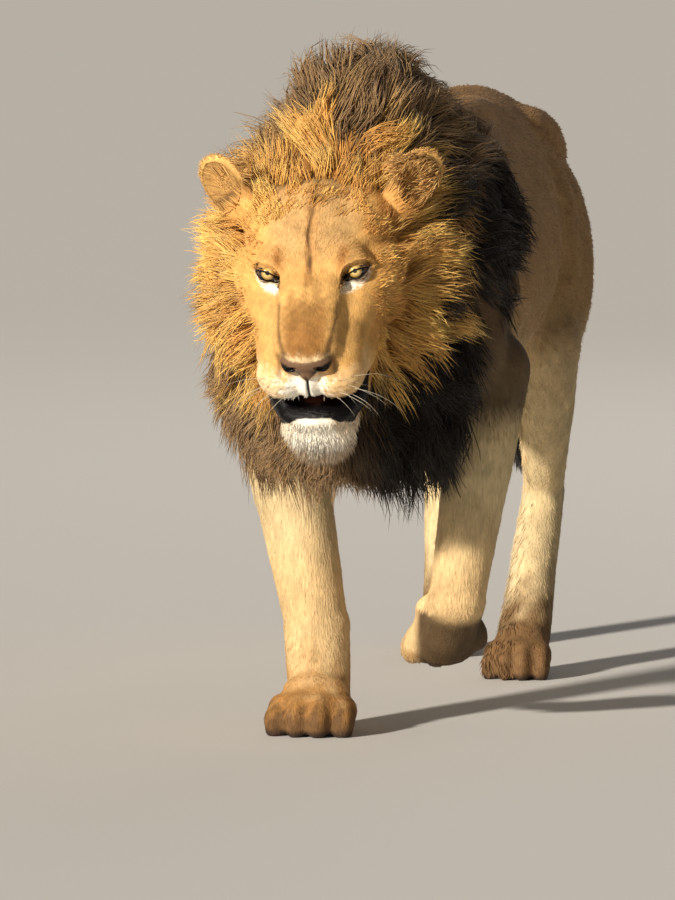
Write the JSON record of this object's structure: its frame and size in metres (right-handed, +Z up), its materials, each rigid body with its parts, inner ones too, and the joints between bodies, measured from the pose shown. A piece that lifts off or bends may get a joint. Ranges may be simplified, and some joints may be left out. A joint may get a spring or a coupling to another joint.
{
  "type": "lion",
  "caption": "Life-size still model of a walking adult male lion with a full mane, one forepaw lifted and the mouth slightly open.",
  "frame": {"origin": "middle of the bounding box at floor level, under the belly", "axes": "the lion walks towards -Y, its left side is +X, and +Z is up"},
  "size_m": [0.5166, 2.3128, 1.1283],
  "materials": {
    "head": "short tawny fur with a pale muzzle",
    "lower_jaw": "white beard with black lips",
    "nose": "moist dark pink-brown skin",
    "eye": "polished amber",
    "ear": "short orange fur with long hair inside",
    "neck": "short fur under the mane",
    "mane": "long hair, golden round the face and dark brown behind",
    "trunk": "short sandy fur",
    "tail": "short sandy fur",
    "tail_tuft": "long black hair",
    "foreleg": "short sandy fur, paler inside",
    "forepaw": "short tan-brown fur",
    "hindleg": "short sandy fur, paler inside",
    "hindpaw": "brown-grey tufted fur"
  },
  "bodies": {
    "root": {"head": "head", "lower_jaw": "lower_jaw", "nose": "nose", "eye_left": "eye", "eye_right": "eye", "ear_left": "ear", "ear_right": "ear", "neck": "neck", "mane": "mane", "trunk": "trunk", "tail": "tail", "tail_tuft": "tail_tuft", "foreleg_left": "foreleg", "foreleg_right": "foreleg", "forepaw_left": "forepaw", "forepaw_right": "forepaw", "hindleg_left": "hindleg", "hindleg_right": "hindleg", "hindpaw_left": "hindpaw", "hindpaw_right": "hindpaw"}
  },
  "joints": []
}
